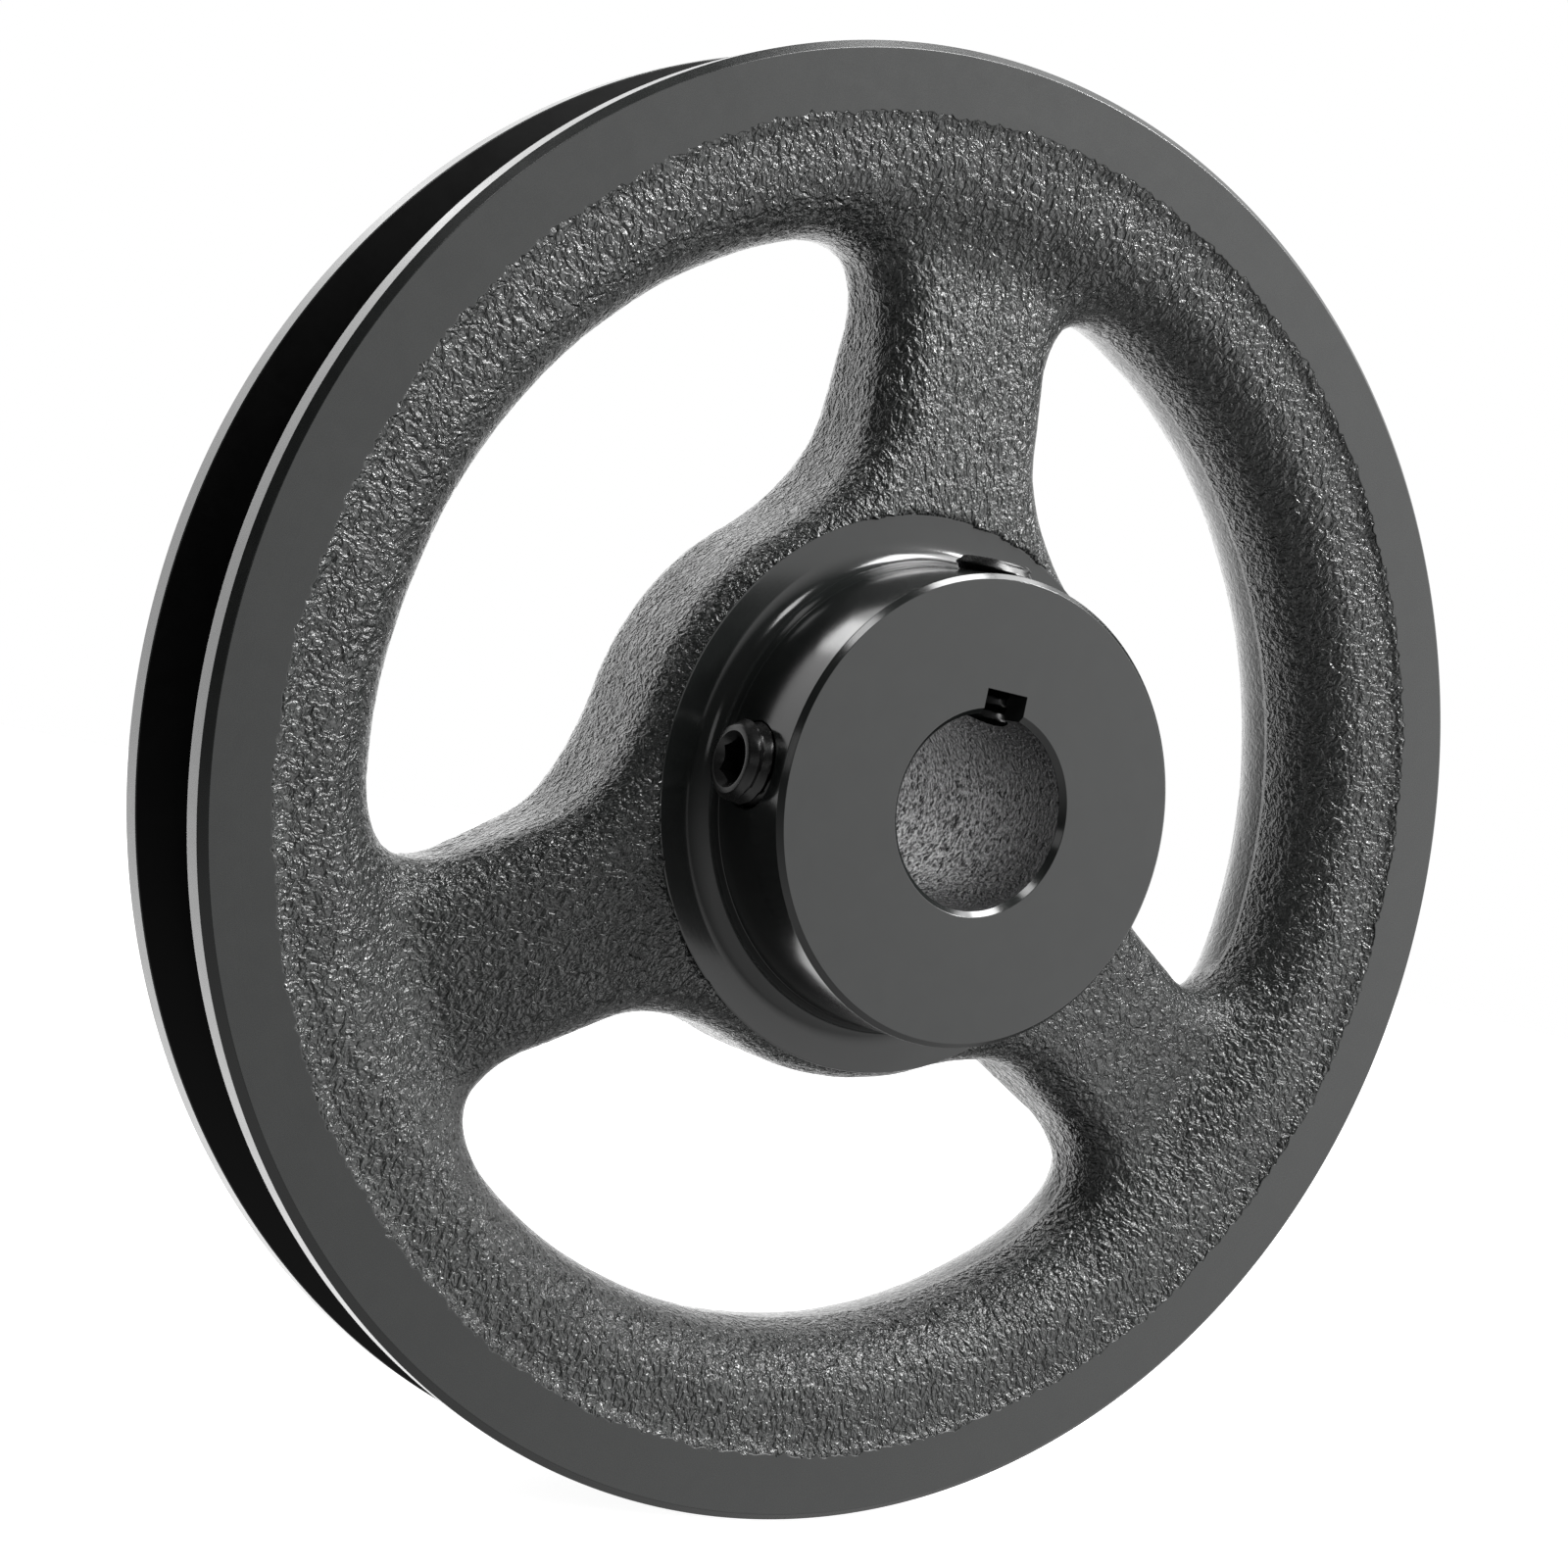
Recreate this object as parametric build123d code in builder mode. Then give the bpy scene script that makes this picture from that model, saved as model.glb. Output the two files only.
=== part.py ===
from build123d import *
from math import radians, tan
import os

# A one-piece grey-iron V-belt pulley with three arms, one belt groove, and a hub that
# stands out of the front. Two set screws clamp it on its shaft, one over the keyway and
# one a quarter turn from it. Millimetres. The bore runs along Y, the hub's front faces -Y,
# and the keyway is at +Z, with the first arm almost over it. The origin is on the bore's
# axis, in the middle plane of the belt groove. Turned profiles are drawn on YZ as (axial,
# radius).

# Rim and belt groove
outer_diameter = 146.05
rim_width = 19.05
land_chamfer = 0.75
groove_top_width = 12.8
groove_angle = 38.0
groove_depth = 12.0
rim_wall = 5.0  # iron left under the groove
rim_face_width = 6.6  # turned ring on each face, in from the outside
cast_step = 0.3  # drop from the turned ring to the cast skin
lip_slope_drop = 0.9  # further drop of the cast ring on its way in to the lip
lip_radius = 5.0

# Arms and cast boss
arm_count = 3
arm_width = 20.8
arm_lead = 0.8  # degrees from the keyway round to the first arm, towards -X
arm_thickness_at_rim = 9.6
boss_shoulder = 2.0  # cast boss beyond the spot face's edge, at mid-thickness
shoulder_drop = 0.2  # the cast boss stays this far behind the rim's turned faces
rim_corner_radius = 9.5
boss_corner_radius = 16.0
window_edge_radius = 4.0

# Hub
hub_diameter = 45.6
hub_projection = 12.7  # hub's front face, out from the rim's front face
hub_chamfer = 0.75
spot_face_width = 4.9  # turned ring around the hub, root radius included
spot_face_depth = 0.5  # behind the rim's front face
hub_root_radius = 2.4

# Bore and keyway
bore_diameter = 19.05
bore_chamfer = 0.55
keyway_width = 4.76
keyway_depth = 2.205  # from the bore's wall to the keyway's roof

# Set screws
screw_diameter = 7.94
screw_thread_clearance = 0.05  # radial, so that the screws turn in and out freely
screw_from_hub_face = 6.35
screw_end_chamfer = 0.7
side_screw_length = 12.7
side_screw_tip_gap = 2.775  # its tip to the bore's wall, so that a shaft still goes in
keyway_screw_length = 9.5
keyway_screw_tip_gap = 2.87  # its tip to the keyway's roof, so that a key still goes in
socket_across_flats = 3.97
socket_depth = 3.6
socket_mouth_radius = 2.65
cup_radius = 2.6
cup_depth = 1.1

# Worked out from the values above
outer_r = outer_diameter / 2
half_width = rim_width / 2
half_groove = groove_top_width / 2
groove_floor_r = outer_r - groove_depth
half_floor = half_groove - groove_depth * tan(radians(groove_angle / 2))
rim_inner_r = groove_floor_r - rim_wall
cast_edge_r = outer_r - rim_face_width
cast_edge_y = half_width - cast_step
lip_y = cast_edge_y - lip_slope_drop
half_arm = arm_thickness_at_rim / 2
half_shoulder = half_width - shoulder_drop
hub_r = hub_diameter / 2
spot_face_radius = hub_r + spot_face_width
boss_radius = spot_face_radius + boss_shoulder
corner_room = (rim_inner_r - boss_radius) / (rim_corner_radius + boss_corner_radius)
corner_fit = min(1, corner_room)  # both corner radii shrink on an arm shorter than they are
hub_front = -half_width - hub_projection
spot_face_y = -half_width + spot_face_depth
bore_r = bore_diameter / 2
keyway_top_radius = bore_r + keyway_depth
screw_y = hub_front + screw_from_hub_face
screw_r = screw_diameter / 2
screw_hole_r = screw_r + screw_thread_clearance

os.makedirs("parts", exist_ok=True)

with BuildPart() as pulley:
    # Arms and boss: a disc with coned faces, thickest at the boss, that runs on into the rim's iron.
    disc_r = (rim_inner_r + groove_floor_r) / 2
    cone_slope = (half_shoulder - half_arm) / (rim_inner_r - spot_face_radius)
    disc_core_y = half_shoulder + cone_slope * spot_face_radius
    disc_edge_y = half_arm - cone_slope * (disc_r - rim_inner_r)
    with BuildSketch(Plane.YZ):
        with BuildLine():
            Polyline(
                (-disc_core_y, 0),
                (-disc_edge_y, disc_r),
                (disc_edge_y, disc_r),
                (disc_core_y, 0),
                close=True,
            )
        make_face()
    revolve(axis=Axis.Y)

    # Three kidney-shaped windows leave the arms between them.
    with BuildSketch(Plane.XZ) as windows:
        Circle(rim_inner_r)
        Circle(boss_radius, mode=Mode.SUBTRACT)
        with PolarLocations(0, arm_count, start_angle=90 + arm_lead):
            Rectangle(outer_r, arm_width, align=(Align.MIN, Align.CENTER), mode=Mode.SUBTRACT)
        rim_corners = windows.vertices().group_by(lambda v: round(Vector(v).length, 3))[-1]
        fillet(rim_corners, rim_corner_radius * corner_fit)
        boss_corners = windows.vertices().group_by(lambda v: round(Vector(v).length, 3))[0]
        fillet(boss_corners, boss_corner_radius * corner_fit)
    extrude(amount=rim_width, both=True, mode=Mode.SUBTRACT)

    # A rounded edge makes its window's outline longer, so the shortest outline is still sharp.
    for face_end in (0, -1):
        for _ in range(arm_count):
            coned_face = pulley.faces().filter_by(GeomType.CONE).sort_by(Axis.Y)[face_end]
            sharp_outline = coned_face.inner_wires().sort_by(SortBy.LENGTH)[0]
            fillet(sharp_outline.edges(), window_edge_radius)

    # Rim: turned faces and lands, the belt groove, and cast lips that roll in to the windows.
    with BuildSketch(Plane.YZ):
        with BuildLine():
            turned = Polyline(
                (-cast_edge_y, cast_edge_r),
                (-half_width, cast_edge_r),
                (-half_width, outer_r - land_chamfer),
                (-half_width + land_chamfer, outer_r),
                (-half_groove, outer_r),
                (-half_floor, groove_floor_r),
                (half_floor, groove_floor_r),
                (half_groove, outer_r),
                (half_width - land_chamfer, outer_r),
                (half_width, outer_r - land_chamfer),
                (half_width, cast_edge_r),
                (cast_edge_y, cast_edge_r),
            )
            FilletPolyline(
                turned @ 1,
                (lip_y, rim_inner_r),
                (-lip_y, rim_inner_r),
                turned @ 0,
                radius=lip_radius,
            )
        make_face()
    revolve(axis=Axis.Y)

    # The spot face at the front and the turned face at the rear, which is flush with the rim.
    with BuildSketch(Plane.XZ.offset(-spot_face_y)):
        Circle(spot_face_radius)
    extrude(amount=hub_projection, mode=Mode.SUBTRACT)
    with BuildSketch(Plane.XZ.offset(-half_width)):
        Circle(spot_face_radius)
    extrude(amount=-hub_projection, mode=Mode.SUBTRACT)

    # The turned hub, with a root radius that runs out on the spot face.
    with BuildSketch(Plane.YZ):
        with BuildLine():
            root_start = (spot_face_y - hub_root_radius, hub_r)
            root_end = (spot_face_y, hub_r + hub_root_radius)
            Polyline(
                root_end,
                (0, hub_r + hub_root_radius),
                (0, 0),
                (hub_front, 0),
                (hub_front, hub_r - hub_chamfer),
                (hub_front + hub_chamfer, hub_r),
                root_start,
            )
            RadiusArc(root_start, root_end, -hub_root_radius)
        make_face()
    revolve(axis=Axis.Y)

    # Bore with a chamfer at each end, keyway, and the two tapped holes, drawn plain.
    with Locations(Plane((0, hub_front, 0), z_dir=(0, -1, 0))):
        Hole(bore_r)
    bore_edges = pulley.edges(Select.LAST).filter_by(GeomType.CIRCLE)
    chamfer(bore_edges, bore_chamfer)
    with BuildSketch(Plane.XZ):
        Rectangle(keyway_width, keyway_top_radius, align=(Align.CENTER, Align.MIN))
    extrude(amount=hub_projection + rim_width, both=True, mode=Mode.SUBTRACT)
    with Locations(
        Plane((-hub_r, screw_y, 0), z_dir=(-1, 0, 0)),
        Plane((0, screw_y, hub_r), z_dir=(0, 0, 1)),
    ):
        Hole(screw_hole_r, depth=hub_r)


# A cup-point socket set screw, drawn plain at its thread's outside diameter.
def set_screw(outer_end, length):
    section = Plane(outer_end.origin, x_dir=-outer_end.z_dir, z_dir=outer_end.x_dir)
    centre_line = Axis(outer_end.origin, outer_end.z_dir)
    with BuildPart() as screw:
        with BuildSketch(section):
            with BuildLine():
                Polyline(
                    (0, 0),
                    (0, screw_r - screw_end_chamfer),
                    (screw_end_chamfer, screw_r),
                    (length - (screw_r - cup_radius), screw_r),
                    (length, cup_radius),
                    (length - cup_depth, 0),
                    close=True,
                )
            make_face()
        revolve(axis=centre_line)
        with BuildSketch(outer_end):
            RegularPolygon(socket_across_flats / 2, 6, major_radius=False)
        extrude(amount=-socket_depth, mode=Mode.SUBTRACT)
        with BuildSketch(section):
            with BuildLine():
                Polyline((0, 0), (0, socket_mouth_radius), (socket_mouth_radius, 0), close=True)
            make_face()
        revolve(axis=centre_line, mode=Mode.SUBTRACT)
    return screw.part


side_end = bore_r + side_screw_tip_gap + side_screw_length
side_set_screw = set_screw(
    Plane((-side_end, screw_y, 0), x_dir=(0, 1, 0), z_dir=(-1, 0, 0)), side_screw_length
)
keyway_end = keyway_top_radius + keyway_screw_tip_gap + keyway_screw_length
keyway_set_screw = set_screw(
    Plane((0, screw_y, keyway_end), x_dir=(0, 1, 0), z_dir=(0, 0, 1)), keyway_screw_length
)

pulley.part.label = "pulley"
side_set_screw.label = "side_set_screw"
keyway_set_screw.label = "keyway_set_screw"
for piece in (pulley.part, side_set_screw, keyway_set_screw):
    export_step(piece, f"parts/{piece.label}.step")
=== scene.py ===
import math

import bmesh
import bpy
from mathutils import Matrix, Vector


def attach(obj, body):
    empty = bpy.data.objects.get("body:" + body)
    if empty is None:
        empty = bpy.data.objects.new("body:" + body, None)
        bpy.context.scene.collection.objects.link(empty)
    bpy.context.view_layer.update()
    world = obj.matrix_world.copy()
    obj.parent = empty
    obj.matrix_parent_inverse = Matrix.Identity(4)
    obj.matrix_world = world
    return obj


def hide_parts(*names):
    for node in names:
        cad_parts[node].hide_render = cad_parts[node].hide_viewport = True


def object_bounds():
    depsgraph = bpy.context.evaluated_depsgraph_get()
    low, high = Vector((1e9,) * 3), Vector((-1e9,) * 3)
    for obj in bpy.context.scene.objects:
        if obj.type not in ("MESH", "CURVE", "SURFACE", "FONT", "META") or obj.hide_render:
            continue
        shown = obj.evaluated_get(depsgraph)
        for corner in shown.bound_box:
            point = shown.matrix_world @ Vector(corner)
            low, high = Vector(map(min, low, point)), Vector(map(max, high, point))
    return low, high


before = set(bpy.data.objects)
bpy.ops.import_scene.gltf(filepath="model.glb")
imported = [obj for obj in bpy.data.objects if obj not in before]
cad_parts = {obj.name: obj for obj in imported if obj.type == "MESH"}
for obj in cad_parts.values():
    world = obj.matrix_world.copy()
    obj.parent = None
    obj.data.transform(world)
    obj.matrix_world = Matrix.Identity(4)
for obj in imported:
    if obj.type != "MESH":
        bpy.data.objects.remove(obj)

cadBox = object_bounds()
mm = 0.001


# sockets in Python sums

class Wire:  # a node socket that takes part in Python sums
    def __init__(self, tree, socket=None):
        self.tree, self.socket = tree, socket

    # any node: its settings first, then its sockets
    def node(self, kind, settings=None, values=None, out=0):
        made = self.tree.nodes.new(kind)
        for name, value in (settings or {}).items():
            setattr(made, name, value)
        for name, value in (values or {}).items():
            if isinstance(value, Wire):
                self.tree.links.new(value.socket, made.inputs[name])
            else:
                made.inputs[name].default_value = value
        return Wire(self.tree, made.outputs[out] if made.outputs else None)

    def parts(self):  # the three numbers of a vector
        split = self.node("ShaderNodeSeparateXYZ", {}, {0: self})
        return [Wire(self.tree, socket) for socket in split.socket.node.outputs]

    def maths(self, operation, *values):
        return self.node("ShaderNodeMath", {"operation": operation}, dict(enumerate(values)))

    def __add__(self, other):
        return self.maths("ADD", self, other)

    def __radd__(self, other):
        return self.maths("ADD", other, self)

    def __sub__(self, other):
        return self.maths("SUBTRACT", self, other)

    def __rsub__(self, other):
        return self.maths("SUBTRACT", other, self)

    def __mul__(self, other):
        return self.maths("MULTIPLY", self, other)

    def __rmul__(self, other):
        return self.maths("MULTIPLY", other, self)

    def __truediv__(self, other):
        return self.maths("DIVIDE", self, other)

    def __rtruediv__(self, other):
        return self.maths("DIVIDE", other, self)

    def __abs__(self):
        return self.maths("ABSOLUTE", self)

    def atLeast(self, other):
        return self.maths("MAXIMUM", self, other)

    def atMost(self, other):
        return self.maths("MINIMUM", self, other)

    def root(self):
        return self.maths("SQRT", self)

    # a straight line from start to end, held outside low..high
    def ramp(self, low, high, start=0.0, end=1.0):
        return self.node("ShaderNodeMapRange", {}, {0: self, 1: low, 2: high, 3: start, 4: end})


def hypot(a, b):
    return (a * a + b * b).root()


# camera

cameraView = {
    "heading": 33.013,  # degrees to the right of +Y
    "tilt": 7.468,  # degrees below level
    "roll": 14.5,  # the pulley stands turned this far about its bore
    "place": (-167.30, -246.67, 0.12),  # millimetres
    "lens": 67.443,
    "shift": (-0.0360, -0.0198),
}


def setCamera():
    heading, tilt = math.radians(cameraView["heading"]), math.radians(cameraView["tilt"])
    right = Vector((math.cos(heading), -math.sin(heading), 0))
    ahead = Vector((math.sin(heading), math.cos(heading), 0))
    forward = ahead * math.cos(tilt) - Vector((0, 0, math.sin(tilt)))
    level = Matrix((right, right.cross(forward), -forward)).transposed()
    turned = Matrix.Rotation(-math.radians(cameraView["roll"]), 3, "Y") @ level
    data = bpy.data.cameras.new("studioCamera")
    data.lens = cameraView["lens"]
    data.shift_x, data.shift_y = cameraView["shift"]
    data.clip_start = 0.01
    camera = bpy.data.objects.new("studioCamera", data)
    bpy.context.collection.objects.link(camera)
    camera.matrix_world = Matrix.Translation(Vector(cameraView["place"]) * mm) @ turned.to_4x4()
    bpy.context.scene.camera = camera


setCamera()
print("camera set")


# finishes

def newFinish(name):
    material = bpy.data.materials.new(name)
    material.use_nodes = True
    tree = material.node_tree
    tree.nodes.clear()
    return material, Wire(tree)


# fixed values go straight on the shader's own sockets
def closeFinish(sheet, fixed, varying, normal=None):
    values = dict(fixed)
    values.update(varying)
    if normal is not None:
        values["Normal"] = normal
    shader = sheet.node("ShaderNodeBsdfPrincipled", {}, values)
    sheet.node("ShaderNodeOutputMaterial", {}, {"Surface": shader})


def millimetres(sheet):
    place = sheet.node("ShaderNodeTexCoord", {}, {}, "Object")
    return sheet.node("ShaderNodeVectorMath", {"operation": "SCALE"}, {0: place, "Scale": 1000.0})


def noise(sheet, place, scale, detail=2.0, rough=0.5, distort=0.0):
    look = {"Scale": scale, "Detail": detail, "Roughness": rough, "Distortion": distort}
    return sheet.node("ShaderNodeTexNoise", {}, {"Vector": place, **look})


def shades(sheet, factor, dark, light):
    ends = {"Factor": factor, 6: (*dark, 1), 7: (*light, 1)}
    return sheet.node("ShaderNodeMix", {"data_type": "RGBA"}, ends, 2)


def bumps(sheet, strength, depth, height):  # depth in millimetres
    values = {"Strength": strength, "Distance": depth * mm, "Height": height}
    return sheet.node("ShaderNodeBump", {}, values)


def ringPlace(sheet, place):  # radius and height only, so what it drives runs round the bore
    x, y, z = place.parts()
    return sheet.node("ShaderNodeCombineXYZ", {}, {0: hypot(x, z), 1: y, 2: 0.0})


def castSkinFinish():
    material, sheet = newFinish("castSkin")
    place = millimetres(sheet)
    x, y, z = place.parts()
    r = hypot(x, z).atLeast(1.0)
    drawn = r * 0.68 + 15.0  # the skin's wrinkles run a little outwards from the bore
    flow = sheet.node("ShaderNodeCombineXYZ", {}, {0: x / r * drawn, 1: z / r * drawn, 2: r * 0.3})
    wrinkles = sheet.node(
        "ShaderNodeTexNoise",
        {"noise_dimensions": "4D"},
        {"Vector": flow, "W": y, "Scale": 1.25, "Detail": 2.0, "Roughness": 0.5, "Distortion": 1.1},
    )
    grain = noise(sheet, place, 3.0, 1.0, 0.5, 0.4)
    patches = noise(sheet, place, 0.12, 2.0)
    rearWall = y.ramp(-0.1, 0.3) * (abs(y) - 5.0).ramp(0.0, 2.5, 1.0, 0.0) * r.ramp(51.0, 54.0)
    height = (wrinkles + grain * 0.12) * (1 - rearWall * 0.85)
    bump = bumps(sheet, 1.0, 0.68, height)
    tone = (wrinkles * 0.75 + patches * 0.25).ramp(0.34, 0.66)
    color = shades(sheet, tone, (0.010, 0.0108, 0.0105), (0.034, 0.0365, 0.0355))
    rough = (wrinkles * 0.6 + grain * 0.4).ramp(0.35, 0.62, 0.32, 0.13)  # the ridges shine
    closeFinish(sheet, {"IOR": 1.6}, {"Base Color": color, "Roughness": rough}, bump)
    return material


def turnedFinish(name, dark, light, roughLow, roughHigh, marks, gleam=0.5):
    material, sheet = newFinish(name)
    place = millimetres(sheet)
    rings = ringPlace(sheet, place)
    feed = noise(sheet, rings, 4.0, 2.0, 0.6)
    mottle = noise(sheet, place, 0.35, 3.0, 0.6, 0.5)
    speck = noise(sheet, place, 5.0, 2.0, 0.6)
    tone = (mottle * 0.6 + feed * 0.2 + speck * 0.2).ramp(0.35, 0.65)
    color = shades(sheet, tone, dark, light)
    rough = (mottle * 0.5 + speck * 0.5).ramp(0.3, 0.7, roughLow, roughHigh)
    bump = bumps(sheet, 0.5, marks, feed + speck * 0.4)
    fixed = {"IOR": 1.6, "Specular IOR Level": gleam}
    closeFinish(sheet, fixed, {"Base Color": color, "Roughness": rough}, bump)
    return material


def boredFinish():  # bare iron, left grainy by the boring bar
    material, sheet = newFinish("boredIron")
    place = millimetres(sheet)
    grain = noise(sheet, place, 2.4, 3.0, 0.65)
    pits = noise(sheet, place, 1.1, 2.0, 0.6).ramp(0.58, 0.70)
    along, up = place.parts()[1:]
    # painted shade and painted light: darker towards the mouth and towards the keyway side at the top,
    # lighter deep in the bore
    paintedShadeAndLight = along.ramp(-20.0, -7.0, 0.08, 1.25) * up.ramp(-7.0, 6.0, 1.0, 0.12)
    tone = (grain - pits * 0.3).ramp(0.38, 0.64) * paintedShadeAndLight
    color = shades(sheet, tone, (0.03, 0.03, 0.031), (0.60, 0.60, 0.605))
    rough = grain.ramp(0.3, 0.7, 0.48, 0.34)
    bump = bumps(sheet, 1.0, 0.34, grain - pits * 0.6)
    closeFinish(sheet, {"Metallic": 0.8}, {"Base Color": color, "Roughness": rough}, bump)
    return material


castSkin = castSkinFinish()
rimDark, rimLight = (0.012, 0.0134, 0.013), (0.016, 0.0176, 0.017)
turnedRim = turnedFinish("turnedRim", rimDark, rimLight, 0.24, 0.30, 0.003)
turnedHub = turnedFinish("turnedHub", rimDark, rimLight, 0.12, 0.17, 0.003)
# painted shade: the belt groove's finish is nearly black and dull, far darker than the other turned faces,
# for the shadow that lies in it
groovePaintedShade = turnedFinish("groovePaintedShade", (0.001,) * 3, (0.002,) * 3, 0.3, 0.4, 0.004, 0.15)
boredIron = boredFinish()
blackSteel = turnedFinish("blackSteel", (0.003,) * 3, (0.007,) * 3, 0.22, 0.34, 0.006)
print("finishes made")


# shared mesh work

def newPiece(name, mesh, finish, body, slotName, *nodes):
    mesh.materials.clear()
    mesh.materials.append(finish)
    piece = bpy.data.objects.new(name, mesh)
    bpy.context.collection.objects.link(piece)
    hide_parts(*nodes)
    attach(piece, body)
    print(name, len(mesh.polygons), "faces")
    return piece


def paintFaces(mesh, finish, chosen):  # a second finish on the faces that chosen says yes to
    mesh.materials.append(finish)
    painted = [face for face in mesh.polygons if chosen(face)]
    for face in painted:
        face.material_index = len(mesh.materials) - 1
    print(finish.name, "on", len(painted), "faces")


# small arcs instead of sharp corners, on a closed outline
def softCorners(points, radius, steps=3):
    soft = []
    for i, corner in enumerate(points):
        before, after = Vector(points[i - 1]), Vector(points[(i + 1) % len(points)])
        here = Vector(corner)
        inward, outward = before - here, after - here
        turn = inward.angle(outward)
        if turn > math.radians(170):
            soft.append(tuple(here))
            continue
        reach = min(radius / math.tan(turn / 2), inward.length * 0.4, outward.length * 0.4)
        start, end = here + inward.normalized() * reach, here + outward.normalized() * reach
        # a point just beyond each end keeps the shading of the flats flat
        soft.append(tuple(start + inward.normalized() * reach * 0.25))
        for k in range(steps + 1):
            t = k / steps
            soft.append(tuple((1 - t) ** 2 * start + 2 * t * (1 - t) * here + t ** 2 * end))
        soft.append(tuple(end + outward.normalized() * reach * 0.25))
    return soft


# a closed outline of (axial, radius) in millimetres, turned about Y
def lathe(outline, turns, wobble=None):
    mesh = bmesh.new()
    rings = []
    for i in range(turns):
        angle = 2 * math.pi * i / turns
        ring = []
        for place, (axial, radius) in enumerate(outline):
            r = radius + (wobble(place, angle) if wobble else 0)
            point = (r * math.sin(angle) * mm, axial * mm, r * math.cos(angle) * mm)
            ring.append(mesh.verts.new(point))
        rings.append(ring)
    count = len(outline)
    for i in range(turns):
        a, b = rings[i], rings[(i + 1) % turns]
        for j in range(count):
            k = (j + 1) % count
            mesh.faces.new((a[j], b[j], b[k], a[k]))
    bmesh.ops.recalc_face_normals(mesh, faces=mesh.faces)
    return mesh


# faces between each ring of points and the next
def bridge(mesh, rings):
    for a, b in zip(rings, rings[1:]):
        for j in range(len(a)):
            k = (j + 1) % len(a)
            mesh.faces.new((a[j], a[k], b[k], b[j]))


def finishMesh(mesh, name, sharp=32):
    data = bpy.data.meshes.new(name)
    mesh.to_mesh(data)
    mesh.free()
    data.shade_smooth()
    data.set_sharp_from_angle(angle=math.radians(sharp))
    return data


# a sum of whole waves, so that it closes after one turn
def ragged(angle, size, waves):
    return size * sum(math.sin(n * angle + phase) * share for n, phase, share in waves)


# the rim, turned all over, with the belt groove

rim = {
    "outerR": 73.025,
    "halfWidth": 9.525,
    "chamfer": 0.75,
    "halfGroove": 6.4,
    "floorR": 61.025,
    "halfFloor": 2.27,
    "castEdgeR": 66.4,  # where the turned face meets the cast skin
    "castEdgeDepth": 0.55,  # the turned face's inner wall, down to the cast skin
    "castEdgeFlat": 0.9,  # of the turned face, outside that edge
    "castEdgeRagged": 0.24,
    "shoulder": (2.6, 1.0),  # hidden in the casting, as are the inner radius and half width
    "innerR": 59.6,
    "innerHalfWidth": 4.0,
    "corner": 0.12,
    "turns": 960,
}
edgeWaves = [  # waves in one turn, phase, share
    (11, 0.4, 0.5),
    (29, 1.9, 0.4),
    (67, 3.1, 0.35),
    (131, 0.2, 0.35),
    (211, 2.2, 0.4),
    (307, 5.0, 0.4),
    (419, 1.1, 0.3),
]


def makeRim():
    r, w = rim["outerR"], rim["halfWidth"]
    edgeR = rim["castEdgeR"]
    wall, flat = rim["castEdgeDepth"], rim["castEdgeFlat"]
    inward, down = rim["shoulder"]
    outline = [
        (-w + wall, edgeR),
        (-w, edgeR),
        (-w, edgeR + flat),
        (-w, r - rim["chamfer"]),
        (-w + rim["chamfer"], r),
        (-rim["halfGroove"], r),
        (-rim["halfFloor"], rim["floorR"]),
        (rim["halfFloor"], rim["floorR"]),
        (rim["halfGroove"], r),
        (w - rim["chamfer"], r),
        (w, r - rim["chamfer"]),
        (w, edgeR + flat),
        (w, edgeR),
        (w - wall, edgeR),
        (w - inward, edgeR - down),
        (rim["innerHalfWidth"], rim["innerR"]),
        (-rim["innerHalfWidth"], rim["innerR"]),
        (-w + inward, edgeR - down),
    ]
    soft = softCorners(outline, rim["corner"])

    def wobble(place, angle):
        axial, radius = soft[place]
        # only the turned faces' inner edges wander
        if abs(radius - edgeR) > 0.3 or abs(axial) < w - 0.7:
            return 0
        turned = angle + (0.8 if axial > 0 else 0)  # so that the two faces' edges differ
        return ragged(turned, rim["castEdgeRagged"], edgeWaves)

    mesh = finishMesh(lathe(soft, rim["turns"], wobble), "rimTurned")
    newPiece("rimTurned", mesh, turnedRim, "pulley", "cast_iron", "pulley")

    def inGroove(face):
        middle = face.center / mm
        out = math.hypot(middle.x, middle.z)
        return abs(middle.y) < rim["halfGroove"] and rim["floorR"] - 0.5 < out < r - 0.1

    # the groove's faces get the nearly black painted shade finish
    paintFaces(mesh, groovePaintedShade, inGroove)


makeRim()


# the casting: arms, boss and the rough inside of the rim

casting = {
    "Arms": 3,
    "Arm half width": 10.2,
    "Arm lead": 0.5,  # degrees from the keyway round to the first arm
    "Arm half thickness at rim": 5.2,
    "Boss radius": 29.1,
    "Boss half thickness": 9.35,
    "Taper start": 27.7,  # where the web starts to thin
    "Edge round": 4.6,
    "Boss corner": 8.0,
    "Rim corner": 11.5,
    "Rim inner radius": 56.5,
    "Lip round": 5.2,
    "Rim foot round": 5.5,
    "Draft": 0.03,
    "Ring inner radius": 61.0,  # the rough ring between the lip and the turned face
    "Ring outer radius": 65.3,
    "Ring inner height": 8.5,
    "Ring outer height": 8.8,
    "Slope start": 65.5,  # the short slope up to the turned face
    "Slope end": 66.5,
    "Slope rise": 0.75,
    "Wrinkle depth": 0.10,
    "Swell depth": 0.35,
    "Mould shift": 0.08,  # the rear half is this much smaller all over, as where two mould halves meet
    "Lathe height": 9.49,  # nothing rough stands above this
    "Spot face radius": 27.75,  # the next five make room for the turned pieces
    "Spot face height": 8.85,
    "Rear face radius": 26.2,
    "Rear face height": 9.1,
    "Hub hole radius": 24.6,
    "Rim outer radius": 67.3,  # and these three leave out what the rim hides
    "Rim hollow radius": 60.3,
    "Rim hollow half width": 7.2,
    "Voxel": 0.35,
}
castingReach = Vector((68.0, 10.4, 68.0))  # half of the space that the casting is worked out in


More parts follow.
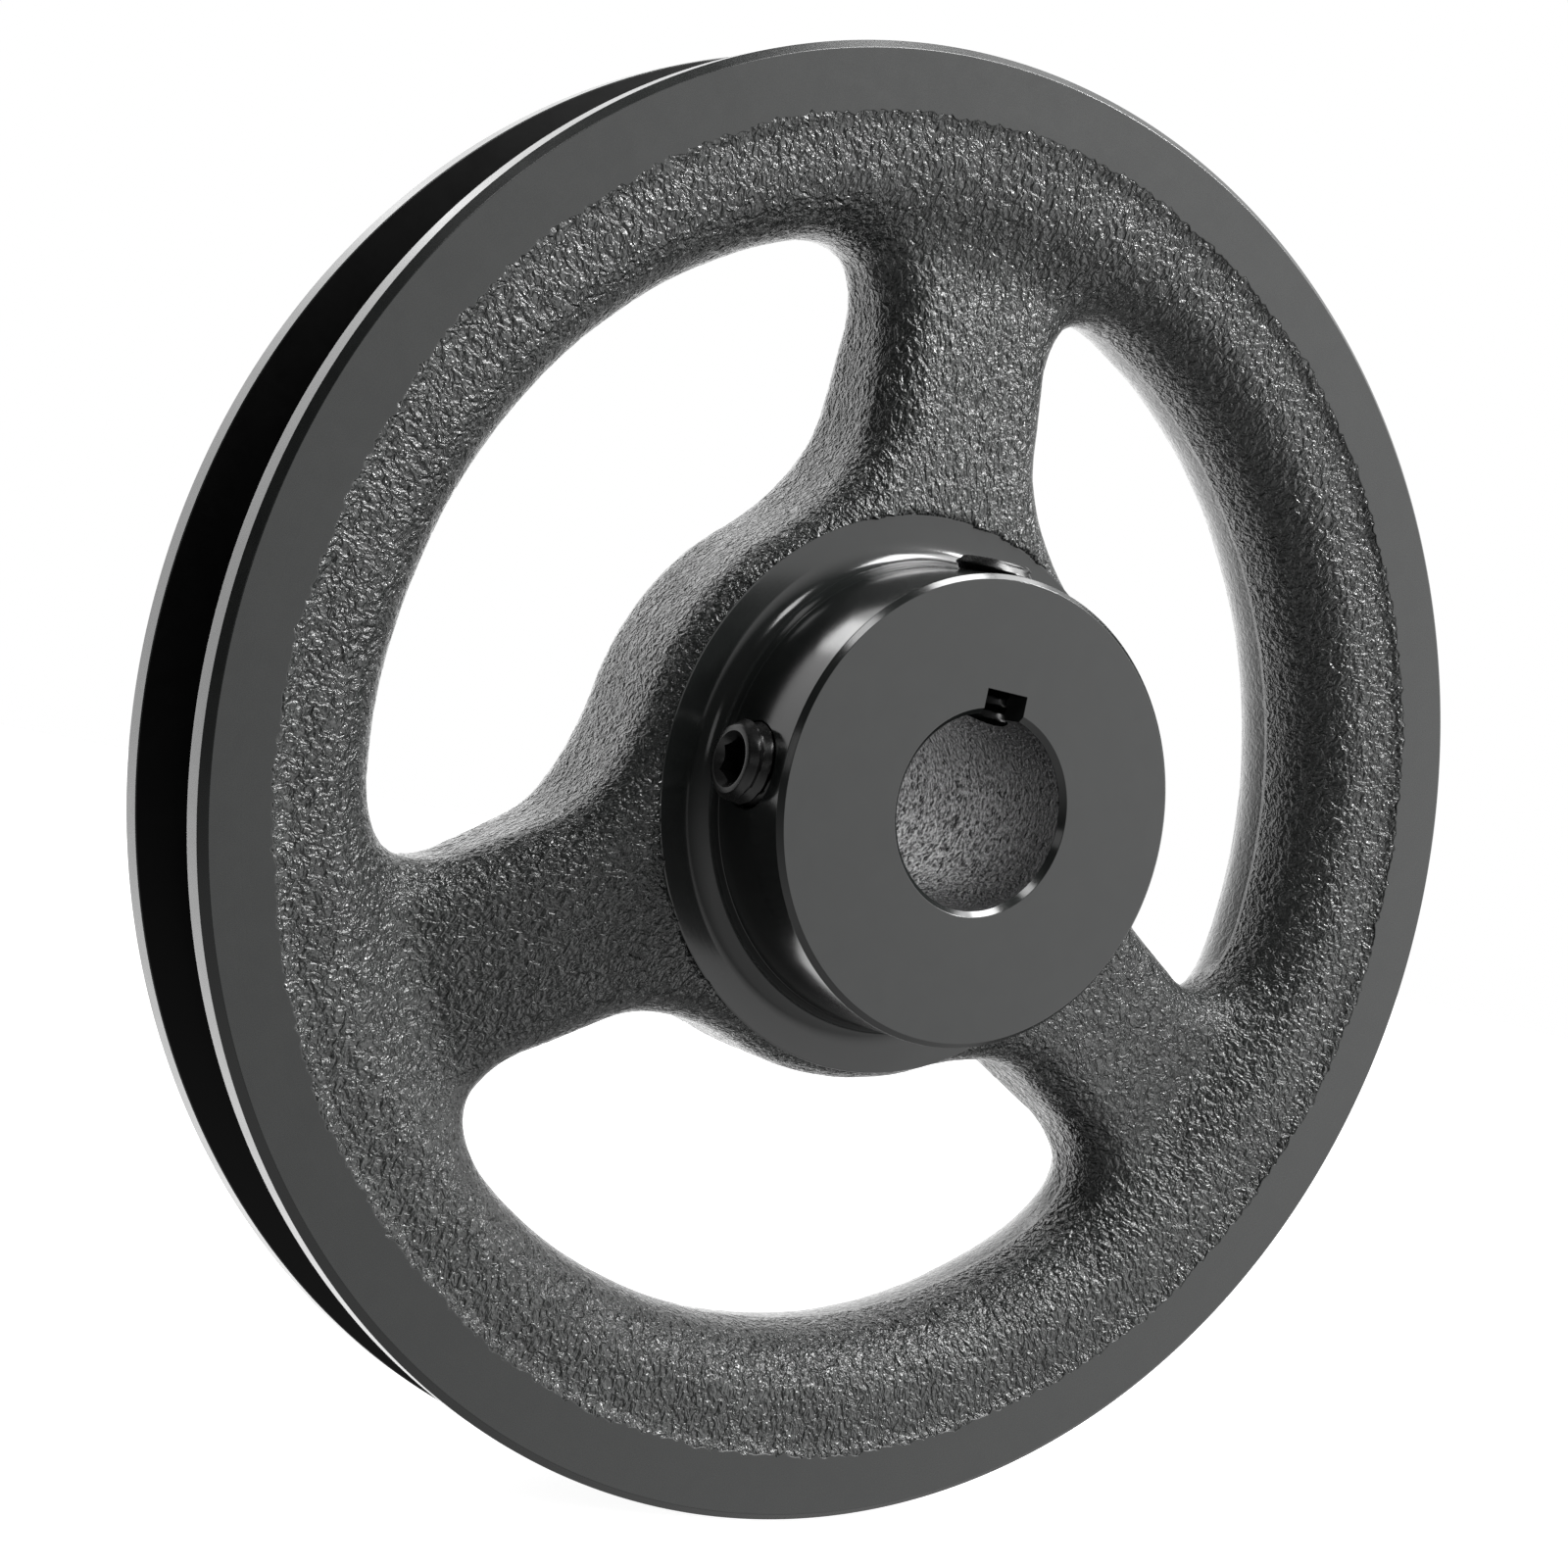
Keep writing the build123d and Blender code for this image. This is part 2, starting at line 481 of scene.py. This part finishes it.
# two solids' distances, joined with a concave fillet
def roundUnion(a, b, radius):
    deepA, deepB = (radius - a).atLeast(0.0), (radius - b).atLeast(0.0)
    return a.atMost(b).atLeast(radius) - hypot(deepA, deepB)


# a wall and a face that meet in a convex round
def roundBlock(side, face, radius):
    a, b = side + radius, face + radius
    return hypot(a.atLeast(0.0), b.atLeast(0.0)) + a.atLeast(b).atMost(0.0) - radius


# how far each point lies outside the iron, in millimetres, and below 0 inside it
def castingShape(sheet, size):
    place = sheet.node("GeometryNodeInputPosition")
    place = sheet.node("ShaderNodeVectorMath", {"operation": "SCALE"}, {0: place, "Scale": 1000.0})
    x, y, z = place.parts()
    r, height = hypot(x, z), abs(y)

    sector = 2 * math.pi / size["Arms"]
    angle = sheet.maths("ARCTAN2", x, z) + size["Arm lead"] * (math.pi / 180)
    folded = sheet.maths("WRAP", angle, sector * 0.5, sector * -0.5)
    across = abs(r * sheet.maths("SINE", folded))

    # the web, seen from the front
    arms = across - size["Arm half width"]
    boss = r - size["Boss radius"]
    wall = size["Rim inner radius"] + height * size["Draft"] - r
    web = roundUnion(roundUnion(arms, boss, size["Boss corner"]), wall, size["Rim corner"])

    # its thickness falls from the boss to the rim
    along = r.ramp(size["Taper start"], size["Rim inner radius"])
    thinning = size["Arm half thickness at rim"] - size["Boss half thickness"]
    half = size["Boss half thickness"] + along * thinning
    webSolid = roundBlock(web, height - half, size["Edge round"])

    # the rough ring rises to the turned face
    ring = (size["Ring inner radius"], size["Ring outer radius"])
    ringFace = r.ramp(*ring, size["Ring inner height"], size["Ring outer height"])
    ringFace = ringFace + r.ramp(size["Slope start"], size["Slope end"], 0.0, size["Slope rise"])
    ringSolid = roundBlock(wall, height - ringFace, size["Lip round"])
    solid = roundUnion(webSolid, ringSolid, size["Rim foot round"])

    # wrinkled sand skin, fainter on the rear half's window walls
    coarse = noise(sheet, place, 0.75, 2.0, 0.5, 0.6)
    swell = noise(sheet, place, 0.10, 1.0)
    quiet = 1 - y.ramp(-0.3, 0.6) * (1 - (height - 5.0).ramp(0.0, 3.0)) * r.ramp(52.0, 55.0) * 0.8
    solid = solid - (coarse - 0.5) * 2 * size["Wrinkle depth"] * quiet - (swell - 0.5) * size["Swell depth"]
    solid = solid + size["Mould shift"] * y.ramp(0.0, 0.3)

    # what the lathe took off, and what the turned pieces hide
    unevenEdge = noise(sheet, place, 0.5, 2.0) - 0.5
    spotFace = (size["Spot face radius"] + unevenEdge - r).atMost(-1.0 * size["Spot face height"] - y)
    rearFace = (size["Rear face radius"] + unevenEdge - r).atMost(y - size["Rear face height"])
    rimHollow = (r - size["Rim hollow radius"]).atMost(size["Rim hollow half width"] - height)
    solid = solid.atLeast(height - size["Lathe height"]).atLeast(spotFace).atLeast(rearFace)
    solid = solid.atLeast(size["Hub hole radius"] - r)
    return solid.atLeast((r - size["Rim outer radius"]).atLeast(rimHollow))


def castingTree(finish):
    tree = bpy.data.node_groups.new("castingRule", "GeometryNodeTree")
    tree.interface.new_socket("Geometry", in_out="OUTPUT", socket_type="NodeSocketGeometry")
    for name in casting:
        tree.interface.new_socket(name, in_out="INPUT", socket_type="NodeSocketFloat")
    sheet = Wire(tree)
    given = tree.nodes.new("NodeGroupInput")
    size = {name: Wire(tree, given.outputs[name]) for name in casting}
    solid = castingShape(sheet, size)

    cells = {f"Resolution {axis}": 2 * reach / size["Voxel"] for axis, reach in zip("XYZ", castingReach)}
    corners = {"Min": tuple(-castingReach * mm), "Max": tuple(castingReach * mm)}
    volume = sheet.node(
        "GeometryNodeVolumeCube", {}, {"Density": solid * -1.0, "Background": -1.0, **corners, **cells}
    )
    grid = {"Volume": volume, "Threshold": 0.0, "Adaptivity": 0.02}
    skin = sheet.node("GeometryNodeVolumeToMesh", {"resolution_mode": "GRID"}, grid)
    smooth = sheet.node("GeometryNodeSetShadeSmooth", {}, {"Geometry": skin})
    whole = sheet.node("GeometryNodeRealizeInstances", {}, {"Geometry": smooth})
    done = sheet.node("GeometryNodeSetMaterial", {}, {"Geometry": whole, "Material": finish})
    sheet.node("NodeGroupOutput", {}, {"Geometry": done})
    return tree


def grow(tree, name, values):  # the tree's result as a plain mesh
    holder = bpy.data.objects.new(name, bpy.data.meshes.new(name))
    bpy.context.collection.objects.link(holder)
    modifier = holder.modifiers.new(name, "NODES")
    modifier.node_group = tree
    for item in tree.interface.items_tree:
        if item.in_out == "INPUT":
            modifier[item.identifier] = float(values[item.name])
    shown = holder.evaluated_get(bpy.context.evaluated_depsgraph_get())
    mesh = bpy.data.meshes.new_from_object(shown)
    holder.modifiers.remove(modifier)
    bpy.data.objects.remove(holder)
    mesh.set_sharp_from_angle(angle=math.radians(50))
    return mesh


castingRule = castingTree(castSkin)
castingSizes = dict(casting)
castingMesh = grow(castingRule, "casting", castingSizes)
newPiece("casting", castingMesh, castSkin, "pulley", "cast_iron", "pulley")


# the hub, turned, bored, keyed and tapped

hub = {
    "radius": 22.8,
    "front": -22.225,
    "rear": 9.525,
    "chamfer": 0.5,
    "corner": 0.10,
    "root": 2.4,
    "rootProud": 0.06,  # the side's finishing cut stops just short of the root
    "spotFace": -9.025,
    "spotRadius": 27.9,
    "spotEdge": 1.4,
    "rearRadius": 26.4,
    "rearChamfer": 0.3,
    "boreR": 9.525,
    "boreChamfer": 0.55,
    "keyWidth": 4.76,
    "keyTop": 11.73,
    "keyStart": 6.525,  # the cutter's lower side, in the open bore
    "keyLength": 60.0,
    "tapY": -15.875,
    "tapR": 4.03,
    "tapDepth": 0.42,
    "tapStart": 6.0,
    "tapPast": 1.2,
    "pitch": 1.411,
    "turns": 288,
}


# a V thread's radius, from its smallest to its largest
def threadRadius(along, angle, radius, depth, pitch):
    phase = (along / pitch - angle / (2 * math.pi)) % 1.0
    return radius + depth * (1 - abs(2 * phase - 1))


# a bar along +Z with a V thread, in millimetres
def threadedBar(start, end, radius, depth, pitch):
    mesh = bmesh.new()
    around, rowsPerTurn = 48, 10
    rows = int((end - start) / pitch * rowsPerTurn)
    grid = []
    for i in range(rows + 1):
        along = start + (end - start) * i / rows
        ring = []
        for j in range(around):
            angle = 2 * math.pi * j / around
            r = threadRadius(along, angle, radius, depth, pitch)
            ring.append(mesh.verts.new((r * math.cos(angle), r * math.sin(angle), along)))
        grid.append(ring)
    bridge(mesh, grid)
    mesh.faces.new(grid[0][::-1])
    mesh.faces.new(grid[-1])
    return mesh


def rootArc():
    start, steps, proud = hub["spotFace"] - hub["root"], 10, hub["rootProud"]
    yield start - 2 * proud, hub["radius"]
    for i in range(steps + 1):
        turn = math.pi / 2 * i / steps
        out = hub["root"] * (1 - math.cos(turn))
        yield start - proud * math.cos(turn) + hub["root"] * math.sin(turn), hub["radius"] + proud + out


def keywayCutter():
    mesh = bmesh.new()
    bmesh.ops.create_cube(mesh, size=1.0)
    low, high = hub["keyStart"], hub["keyTop"]
    for v in mesh.verts:
        up = low + (v.co.z + 0.5) * (high - low)
        v.co = Vector((v.co.x * hub["keyWidth"], v.co.y * hub["keyLength"], up)) * mm
    return mesh


def tapCutter(turned):
    end = hub["radius"] + hub["tapPast"]
    mesh = threadedBar(hub["tapStart"], end, hub["tapR"], hub["tapDepth"], hub["pitch"])
    move = Matrix.Translation((0, hub["tapY"], 0)) @ Matrix.Rotation(turned, 4, "Y")
    bmesh.ops.transform(mesh, matrix=Matrix.Scale(mm, 4) @ move, verts=mesh.verts)
    return mesh


def makeHub():
    front, rear, r, c = hub["front"], hub["rear"], hub["radius"], hub["boreChamfer"]
    outline = [
        (front + c, hub["boreR"]),
        (front, hub["boreR"] + c),
        (front, r - hub["chamfer"]),
        (front + hub["chamfer"], r),
        *rootArc(),
        (hub["spotFace"], hub["spotRadius"]),
        (hub["spotFace"] + hub["spotEdge"], hub["rearRadius"]),
        (rear - hub["rearChamfer"], hub["rearRadius"]),
        (rear, hub["rearRadius"] - hub["rearChamfer"]),
        (rear, hub["boreR"] + c),
        (rear - c, hub["boreR"]),
    ]
    turned = lathe(softCorners(outline, hub["corner"]), hub["turns"])
    body = bpy.data.objects.new("hubBody", finishMesh(turned, "hubBody"))
    bpy.context.collection.objects.link(body)

    cutters = []
    for i, tool in enumerate((keywayCutter(), tapCutter(-math.pi / 2), tapCutter(0.0))):
        bmesh.ops.recalc_face_normals(tool, faces=tool.faces)
        cutter = bpy.data.objects.new(f"cutter{i}", finishMesh(tool, f"cutter{i}"))
        bpy.context.collection.objects.link(cutter)
        cut = body.modifiers.new("cut", "BOOLEAN")
        cut.operation, cut.solver, cut.object = "DIFFERENCE", "EXACT", cutter
        cutters.append(cutter)
    shown = body.evaluated_get(bpy.context.evaluated_depsgraph_get())
    mesh = bpy.data.meshes.new_from_object(shown)
    for thing in (body, *cutters):
        bpy.data.objects.remove(thing)
    mesh.shade_smooth()
    mesh.set_sharp_from_angle(angle=math.radians(32))
    newPiece("hubTurned", mesh, turnedHub, "pulley", "cast_iron", "pulley")

    def inBore(face):
        corners = [mesh.vertices[i].co / mm for i in face.vertices]
        return max(math.hypot(c.x, c.z) for c in corners) < hub["boreR"] + 0.03

    paintFaces(mesh, boredIron, inBore)


makeHub()


# the two socket set screws

setScrew = {
    "radius": 3.97,
    "threadDepth": 0.55,
    "pitch": 1.411,
    "endChamfer": 0.75,
    "acrossFlats": 3.97,
    "socketDepth": 3.6,
    "mouthRadius": 2.65,
    "cupRadius": 2.5,
    "cupDepth": 1.1,
    "around": 96,
    "rowsPerTurn": 12,
    "centre": 0.02,  # the small flat that closes each end
}


# rows of (radius, depth below the outer end), from the socket's floor round to the cup
def screwRows(length, angles):
    s = setScrew
    radius, mouth, floor = s["radius"], s["mouthRadius"], s["socketDepth"]

    def even(r, depth):
        return [(r, depth)] * len(angles)

    def hexagon(angle):
        turned = (angle + math.pi / 6) % (math.pi / 3) - math.pi / 6
        return s["acrossFlats"] / 2 / math.cos(turned)

    yield even(s["centre"], floor + 0.6)
    yield [(hexagon(a) * 0.75, floor + 0.15) for a in angles]
    yield [(hexagon(a), floor) for a in angles]
    yield [(hexagon(a), mouth - hexagon(a) + 0.02) for a in angles]
    yield [(hexagon(a) + 0.02, mouth - hexagon(a)) for a in angles]
    yield even(mouth, 0.03)
    yield even(mouth + 0.04, 0.0)
    yield even(radius - s["endChamfer"] - 0.04, 0.0)
    count = int(length / s["pitch"] * s["rowsPerTurn"])
    for i in range(count + 1):
        depth = 0.03 + (length - 0.06) * i / count
        outer, inner = radius - s["endChamfer"] + depth, s["cupRadius"] + 0.06 + (length - depth)
        row = []
        for a in angles:
            thread = threadRadius(depth, a, radius - s["threadDepth"], s["threadDepth"], s["pitch"])
            row.append((min(thread, outer, inner), depth))
        yield row
    yield even(s["cupRadius"], length)
    yield even(s["cupRadius"] - 0.25, length - 0.05)
    yield even(s["centre"], length - s["cupDepth"])


def makeScrew(name, node, outerEnd, direction, length):
    mesh = bmesh.new()
    angles = [2 * math.pi * j / setScrew["around"] for j in range(setScrew["around"])]
    grid = []
    for row in screwRows(length, angles):
        points = [(r * math.cos(a), r * math.sin(a), -depth) for (r, depth), a in zip(row, angles)]
        grid.append([mesh.verts.new(point) for point in points])
    bridge(mesh, grid)
    mesh.faces.new(grid[0])
    mesh.faces.new(grid[-1])
    bmesh.ops.recalc_face_normals(mesh, faces=mesh.faces)
    turn = direction.to_track_quat("Z", "Y").to_matrix().to_4x4()
    outer = direction * outerEnd + Vector((0, hub["tapY"], 0))
    move = Matrix.Scale(mm, 4) @ Matrix.Translation(outer) @ turn
    bmesh.ops.transform(mesh, matrix=move, verts=mesh.verts)
    newPiece(name, finishMesh(mesh, name), blackSteel, node, "black_steel", node)


makeScrew("sideScrew", "side_set_screw", 25.0, Vector((-1, 0, 0)), 12.7)
makeScrew("keywayScrew", "keyway_set_screw", 24.1, Vector((0, 0, 1)), 9.5)


# studio

lamps = [  # place in metres, width, power; each is aimed at the hub
    ((0.62, -0.50, 0.62), 0.14, 6.0),
    ((-0.75, -0.60, 0.12), 0.22, 0.15),
    ((0.25, -0.20, 0.88), 0.32, 5.5),
    ((-0.36, -0.42, 0.76), 0.22, 1.3),
    ((-0.14, 0.81, 0.55), 0.20, 0.4),
    ((0.60, -0.15, 0.76), 0.50, 4.0),
]


# white to the camera; to the pulley, a bright back, a bright right side and a paler ground
def makeWorld():
    world = bpy.data.worlds.new("studio")
    bpy.context.scene.world = world
    world.use_nodes = True
    world.node_tree.nodes.clear()
    sheet = Wire(world.node_tree)
    way = sheet.node("ShaderNodeTexCoord", {}, {}, "Generated")
    x, y, z = way.parts()
    rightSide = {0: way, 1: (0.86, -0.38, 0.34)}
    key = sheet.node("ShaderNodeVectorMath", {"operation": "DOT_PRODUCT"}, rightSide, "Value")
    back = y.ramp(0.55, 0.92) * x.ramp(-0.8, -0.1, 0.3, 1.0) * 2.3
    glow = back + key.ramp(0.38, 1.0) * 2.0 + (0 - z).ramp(0.05, 0.7) * 0.50 + 0.035
    seen = sheet.node("ShaderNodeLightPath", {}, {}, "Is Camera Ray")
    strength = seen + (1 - seen) * glow
    shader = sheet.node("ShaderNodeBackground", {}, {"Color": (1, 1, 1, 1), "Strength": strength})
    sheet.node("ShaderNodeOutputWorld", {}, {"Surface": shader})


# it only carries the shadow
def makeFloor():
    mesh = bpy.data.meshes.new("floor")
    span, level = 1.5, cadBox[0].z - 0.0002
    corners = [(-span, -span, level), (span, -span, level), (span, span, level), (-span, span, level)]
    mesh.from_pydata(corners, [], [(0, 1, 2, 3)])
    floor = bpy.data.objects.new("floor", mesh)
    bpy.context.collection.objects.link(floor)
    pale, sheet = newFinish("paleFloor")
    fixed = {"Base Color": (0.4, 0.4, 0.4, 1), "Roughness": 0.8}
    fixed.update({"Emission Color": (1, 1, 1, 1), "Emission Strength": 0.95})
    closeFinish(sheet, fixed, {})
    mesh.materials.append(pale)
    floor.visible_glossy = floor.visible_diffuse = False


def hangLamp(name, place, width, power):
    data = bpy.data.lights.new(name, "AREA")
    data.size, data.energy = width, power
    lamp = bpy.data.objects.new(name, data)
    bpy.context.collection.objects.link(lamp)
    lamp.location = place
    lamp.visible_camera = False
    lamp.rotation_euler = (-Vector(place)).to_track_quat("-Z", "Y").to_euler()


makeWorld()
makeFloor()
for i, lamp in enumerate(lamps):
    hangLamp(f"softbox{i}", *lamp)
bpy.context.scene.view_settings.view_transform = "Standard"
print("studio lit")

print("done")
